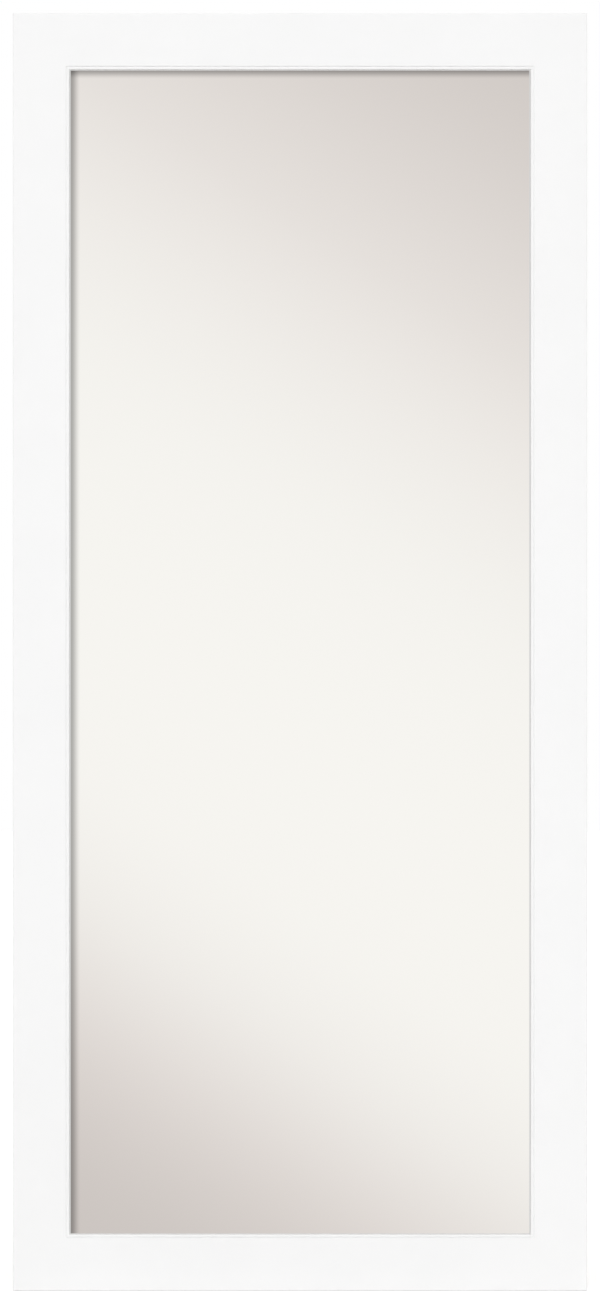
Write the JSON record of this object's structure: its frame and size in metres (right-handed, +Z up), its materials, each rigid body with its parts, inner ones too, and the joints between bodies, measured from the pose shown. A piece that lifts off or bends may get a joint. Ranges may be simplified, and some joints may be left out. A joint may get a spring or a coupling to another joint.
{
  "type": "over the door mirror",
  "caption": "Tall rectangular mirror in a flat white mitred frame with a fine groove and lip, hung on steel straps that hook over a door and slide to set its height.",
  "frame": {"origin": "middle of the top front edge of the door that the mirror hangs on, under the seats of the hooks", "axes": "+X to the viewer's right, +Y from the room into the door, +Z up"},
  "size_m": [0.622, 0.0706, 1.3841],
  "materials": {
    "white_frame": "smooth satin white lacquer, no grain",
    "mirror": "polished",
    "film": "thin grey film",
    "cushion_card": "grey card",
    "hardboard": "brown hardboard",
    "black_rubber": "matte",
    "zinc_steel": "bright zinc plate",
    "insert_brass": "turned",
    "strap_steel": "satin nickel plate"
  },
  "bodies": {
    "frame": {"top_rail": "white_frame", "bottom_rail": "white_frame", "left_stile": "white_frame", "right_stile": "white_frame", "corner_nails": "zinc_steel", "mirror_plate": "mirror", "safety_film": "film", "setting_blocks": "black_rubber", "side_spacers": "black_rubber", "cushion_sheet": "cushion_card", "backing_board": "hardboard", "retaining_points": "zinc_steel", "left_inserts": "insert_brass", "right_inserts": "insert_brass", "left_washers": "zinc_steel", "right_washers": "zinc_steel", "left_clamp_screws": "zinc_steel", "right_clamp_screws": "zinc_steel", "door_bumpers": "black_rubber"},
    "left_hook": {"left_hook": "strap_steel", "left_hook_pad": "black_rubber"},
    "right_hook": {"right_hook": "strap_steel", "right_hook_pad": "black_rubber"}
  },
  "joints": [
    {"name": "left_hook_slide", "type": "slide", "parent": "frame", "child": "left_hook", "axis": [0, 0, 1], "range_m": [0, 0.15]},
    {"name": "right_hook_slide", "type": "slide", "parent": "frame", "child": "right_hook", "axis": [0, 0, 1], "range_m": [0, 0.15]}
  ]
}
